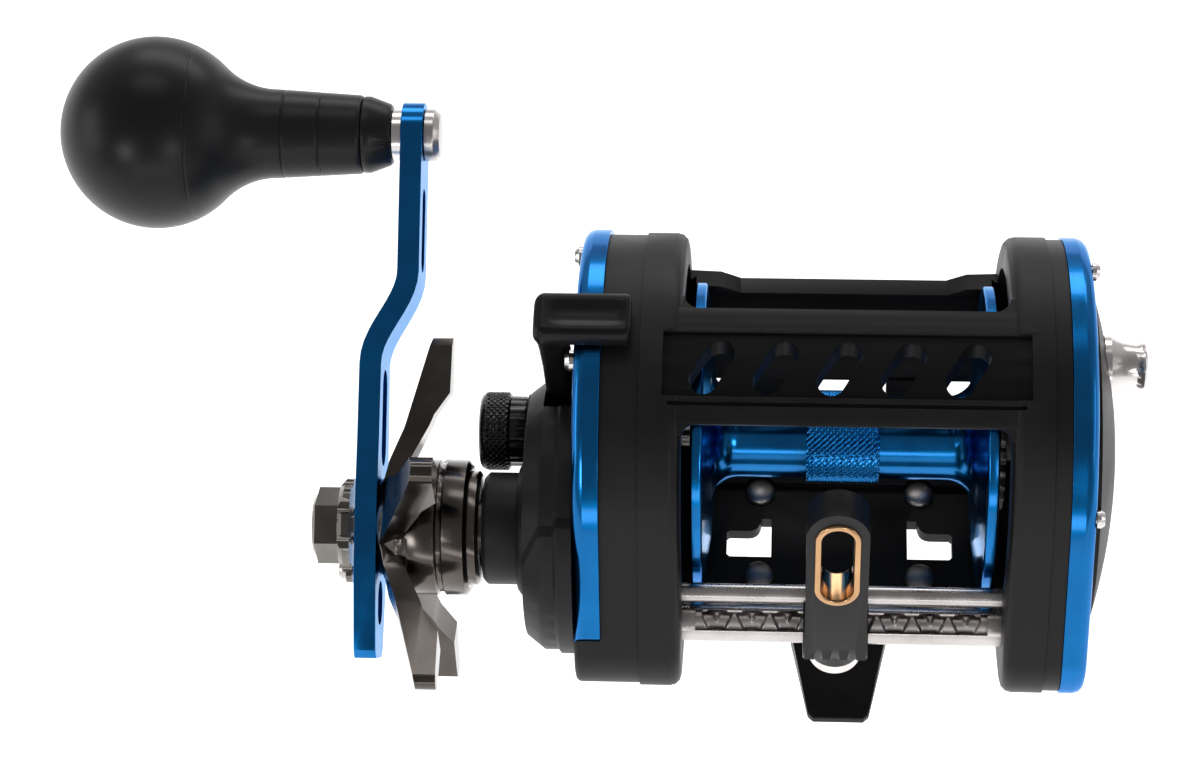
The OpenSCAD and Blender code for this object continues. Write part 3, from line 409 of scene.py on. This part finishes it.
def facing(bearing, axis, x, side, out):
    """The point at x, side mm across and out mm from an axis, towards a bearing.

    Bearing 0 is the rod tip and 90 is up.
    """
    a = math.radians(bearing)
    return (x, axis[0] - out * math.cos(a) + side * math.sin(a),
            axis[1] + out * math.sin(a) + side * math.cos(a))


def saw(u):
    """A triangle wave from 0 to 1 and back over each unit."""
    return abs(2 * (u - math.floor(u)) - 1)


def bend(centre, radius, start, end, steps):
    """Points along an arc, its ends in degrees."""
    return [(centre[0] + radius * math.cos(math.radians(start + (end - start) * k / steps)),
             centre[1] + radius * math.sin(math.radians(start + (end - start) * k / steps)))
            for k in range(steps + 1)]


def spool_pieces():
    """The spool with rounded rims, and its arbor band with a diamond knurl."""
    arbor, half, flange, band = 7.7, 25.0, 27.9, 6.6
    outer = half + 2.3
    side = [(outer - 0.6, 2.5), (outer - 0.6, 12), (outer, 13), (outer - 0.6, 22), (outer, 26),
            (outer - 0.3, flange), (half + 0.3, flange), (half, flange - 0.4), (half, 26.6),
            (half - 1.1, 19)]
    hub = [(x, r) for r, x in bend((arbor + 5.2, half - 6.2), 5.2, 118, 180, 14)]
    right = fillet(side, 0.22, 3)[:-1] + hub
    sunk = [(band + 0.1, arbor), (band + 0.1, arbor - 0.5)]
    outline = right + sunk
    outline = outline + [(-x, r) for x, r in reversed(outline)]
    show("spool_body", lathe(outline, SPOOL_AXIS, 224), "spool", "blue_anodised", ["spool"], smooth=50)

    rows, around, teeth, pitch = 88, 400, 50, 1.08
    floor_r, tooth_h, fade, cross = 8.22, 0.34, 0.35, 0.38
    bm = bmesh.new()
    grid = []
    for k in range(around):
        angle = math.tau * k / around
        line = []
        for i in range(rows + 1):
            x = -band + 2 * band * i / rows
            turn = teeth * k / around
            height = min(saw(turn + x / pitch), 1 - cross + cross * saw(turn - x / pitch))
            rim = min(1.0, (band - abs(x)) / fade)
            line.append(bm.verts.new(on_axis(SPOOL_AXIS, x, floor_r + tooth_h * height * rim, angle)))
        line.append(bm.verts.new(on_axis(SPOOL_AXIS, band, arbor - 0.6, angle)))
        line.insert(0, bm.verts.new(on_axis(SPOOL_AXIS, -band, arbor - 0.6, angle)))
        grid.append(line)
    for k in range(around):
        here, there = grid[k], grid[(k + 1) % around]
        for i in range(len(here)):
            j = (i + 1) % len(here)
            bm.faces.new((here[i], here[j], there[j], there[i]))
    bmesh.ops.recalc_face_normals(bm, faces=bm.faces)
    show("spool_knurl", bm, "spool", "blue_anodised", smooth=40)


def worm_piece():
    """The level-wind worm: two crossing helical grooves on its shaft."""
    radius, half, pitch, rows, around = 2.45, 29.9, 6.4, 420, 72
    groove_end, groove_depth, groove_start, groove_wall = 25, 0.62, 0.58, 0.14
    journal_r, crank_end, left_end = 1.8, -32.6, 35.4
    bm = bmesh.new()
    grid = []
    for k in range(around):
        angle = math.tau * k / around
        line = [bm.verts.new(on_axis(WORM_AXIS, x, journal_r, angle)) for x in (crank_end, -half)]
        for i in range(rows + 1):
            x = -half + 2 * half * i / rows
            turn = k / around
            deep = 0.0
            if abs(x) < groove_end:
                near = max(saw(turn + x / pitch), saw(turn - x / pitch))
                deep = min(1.0, max(0.0, (near - groove_start) / groove_wall))
            line.append(bm.verts.new(on_axis(WORM_AXIS, x, radius - groove_depth * deep, angle)))
        line += [bm.verts.new(on_axis(WORM_AXIS, x, journal_r, angle)) for x in (half, left_end)]
        grid.append(line)
    for k in range(around):
        here, there = grid[k], grid[(k + 1) % around]
        for i in range(len(here) - 1):
            bm.faces.new((here[i], here[i + 1], there[i + 1], there[i]))
    bm.faces.new([line[0] for line in grid])
    bm.faces.new([line[-1] for line in grid][::-1])
    bmesh.ops.recalc_face_normals(bm, faces=bm.faces)
    show("worm_threaded", bm, "worm", "steel", ["worm_shaft"], smooth=38, look=LOOKS["worm_steel"])


def tension_knob_piece():
    """The spool tension knob with its diamond-knurled band and plain neck."""
    knob, skirt = 7.3, 6.5
    rows = [(-65.25 + 3.75 * i / 22, knob) for i in range(23)]
    outline = [(-57.9, 5.0), (-57.9, skirt - 0.3), (-58.2, skirt), (-60.9, skirt), (-61.0, knob - 0.6),
               (-61.2, knob - 0.3)]
    outline += rows[::-1]
    outline += [(-65.6, knob - 0.15), (-66.2, knob - 0.55), (-66.55, knob - 1.2), (-66.6, 4.7),
                (-66.3, 4.3), (-66.1, 3.9), (-66.1, 0.02), (-64.6, 0.02), (-64.6, 5.0)]
    skirt_teeth, skirt_depth, knob_teeth, knob_depth, pitch = 22, 0.18, 40, 0.3, 1.1

    def knurl(x, r, angle):
        if r < knob - 0.01:
            return r - (skirt_depth * saw(skirt_teeth * angle / math.tau) if abs(r - skirt) < 0.01 else 0)
        turn = knob_teeth * angle / math.tau
        return r - knob_depth * (1 - min(saw(turn + x / pitch), saw(turn - x / pitch)))
    show("tension_knob_knurled", lathe(outline, SPOOL_AXIS, 320, knurl), "tension", "gloss_black",
         ["tension_knob"], smooth=40)


def grip_piece():
    """The ball grip, with the faint seams of its moulding."""
    ball_x, ball, neck, waist, inner = -127.3, 17.7, 8.2, 14.0, -88.8
    waist_x = ball_x + math.sqrt((ball + waist) ** 2 - (neck + waist) ** 2)
    turn = math.degrees(math.atan2(neck + waist, waist_x - ball_x))
    outline = bend((ball_x, 0), ball, 166, turn, 60)
    outline += bend((waist_x, neck + waist), waist, 180 + turn, 270, 28)[1:]
    last = outline[-1]
    taper = [(last[0] + (inner - 0.5 - last[0]) * k / 24, last[1] + (7.25 - last[1]) * k / 24)
             for k in range(1, 25)]
    outline = outline + taper + [(inner - 0.15, 7.1), (inner, 6.8), (inner, 4.6), (-141, 4.6), (-141, 4.28)]
    seams = (-119.6, -103.2, -96.5)
    groove = ((-0.28, 0.0), (-0.12, 0.08), (0.0, 0.14), (0.12, 0.08), (0.28, 0.0))  # across and deep
    fine = []
    for here, there in zip(outline, outline[1:] + outline[:1]):
        fine.append(here)
        if min(here[1], there[1]) < 7.2:
            continue
        for seam in seams:
            if min(here[0], there[0]) < seam <= max(here[0], there[0]):
                for k, deep in groove:
                    t = (seam + k - here[0]) / (there[0] - here[0])
                    radius = here[1] + (there[1] - here[1]) * t
                    fine.append((seam + k, radius - deep))
    fine = [fine[0]] + [p for q, p in zip(fine, fine[1:]) if (Vector(p) - Vector(q)).length > 0.01]
    show("grip_ball", lathe(fine, GRIP_AXIS, 160), "grip", "grip_rubber", ["grip"], smooth=50)


def lever_piece():
    """The clutch lever: a tapering arm in a rounded shell, and a dished finger tab across the side plate."""
    axis, root, reach = SPOOL_AXIS, 9.7, 30

    def lean(out):
        return LEVER_BEARING - 2.7 * (out - root) / reach

    arm = []
    for out, wide, left, right in ((root, 4.0, -53.1, -48.3), (18, 4.0, -53.1, -48.3),
                                   (26, 3.1, -53.1, -48.3), (33, 3.3, -53.15, -48.3),
                                   (36, 3.8, -53.2, -48.25), (38.2, 4.4, -53.2, -48.2),
                                   (39.6, 4.6, -53.2, -48.2)):
        ring = fillet([(left, -wide), (right, -wide), (right, wide), (left, wide)], 1.3, 5)
        arm.append([facing(lean(out), axis, x - 1.1 * (out - root) / reach, side, out) for x, side in ring])
    show("clutch_lever_arm", loft(arm), "clutch", "gloss_black", ["clutch_lever"],
         look=LOOKS["lever_black"], smooth=45, bevel=0.25)
    tab = []
    low, high, wide, left, right, rim = 38.2, 41.55, 4.6, -54.6, -37.5, 1.9
    for k in range(25):
        if k < 9:
            x = left + rim * (1 - math.cos(math.pi / 2 * k / 8))
            pull = rim * (1 - math.sin(math.pi / 2 * k / 8))
        elif k > 15:
            x = right - 1.0 * (1 - math.cos(math.pi / 2 * (24 - k) / 8))
            pull = 1.0 * (1 - math.sin(math.pi / 2 * (24 - k) / 8))
        else:
            x = left + rim + (right - 1.0 - left - rim) * (k - 8) / 8
            pull = 0.0
        w, top = wide - pull * 0.8, high - pull * 0.9
        dish = (0.75 * min(1.0, max(0.0, (x - left - 1.9) / 1.2))
                * min(1.0, max(0.0, (right - 0.6 - x) / 0.8)))
        crown = [(w, low + 0.5 * pull), (w, top - 1.3), (w - 0.35, top - 0.5), (w - 1.1, top),
                 (w - 2.0, top - 0.1 * dish), (w - 3.0, top - dish * 0.7), (0.9, top - dish),
                 (-0.9, top - dish), (3.0 - w, top - dish * 0.7), (2.0 - w, top - 0.1 * dish),
                 (1.1 - w, top), (0.35 - w, top - 0.5), (-w, top - 1.3), (-w, low + 0.5 * pull)]
        tab.append([facing(lean(40), axis, x, side, out) for side, out in crown])
    show("clutch_lever_tab", loft(tab), "clutch", "gloss_black", look=LOOKS["lever_black"], smooth=60,
         bevel=0.2)


def eye_ring():
    """The bronze liner of the line guide: a rounded band around a straight-sided eye."""
    lean, mid, run, round_r, steps = math.radians(GUIDE_LEAN), 22.0, 5.75, 4.05, 32
    path = []
    for end, start in ((1, 0), (-1, 180)):
        path += [(end * run, start + 180 * k / steps) for k in range(steps + 1)]
    band = fillet([(0.0, -0.05), (0.0, 7.45), (1.2, 7.45), (1.2, -0.05)], 0.5, 4)
    rings = []
    for middle, turn in path:
        a = math.radians(turn)
        ring = []
        for inward, deep in band:
            x, up = (round_r - inward) * math.cos(a), middle + (round_r - inward) * math.sin(a)
            y, z = -deep - 0.1, mid + up
            ring.append((GUIDE_X + x, WORM_AXIS[0] + y * math.cos(lean) + z * math.sin(lean),
                         WORM_AXIS[1] - y * math.sin(lean) + z * math.cos(lean)))
        rings.append(ring)
    show("guide_eye_ring", loft(rings, closed=True), "line_guide", "ring_bronze", ["guide_ring"], smooth=50)


# --- The pieces ---

spool_pieces()
worm_piece()
tension_knob_piece()
grip_piece()
lever_piece()
eye_ring()
made = {"spool", "worm_shaft", "tension_knob", "grip", "clutch_lever", "guide_ring"}

# Every other node is shown as a softened copy of itself
node_body = {n: b for b, members in frame["record"]["behaviour"]["bodies"].items() for n in members}
own_looks = {"handle_nut": LOOKS["nut_dark"], "nut_retainer": LOOKS["nut_dark"]}
usual_bevel = 0.12
bevels = {"star_wheel": 0.4, "handle_arm": 0.3, "line_guide": 0.3, "handle_nut": 0.25, "foot": 0.3}
for node in sorted(set(frame["nodes"]) - made):
    show(node + "_piece", clean_copy(node), node_body[node], slots[node], [node],
         bevel=bevels.get(node, usual_bevel), look=own_looks.get(node))
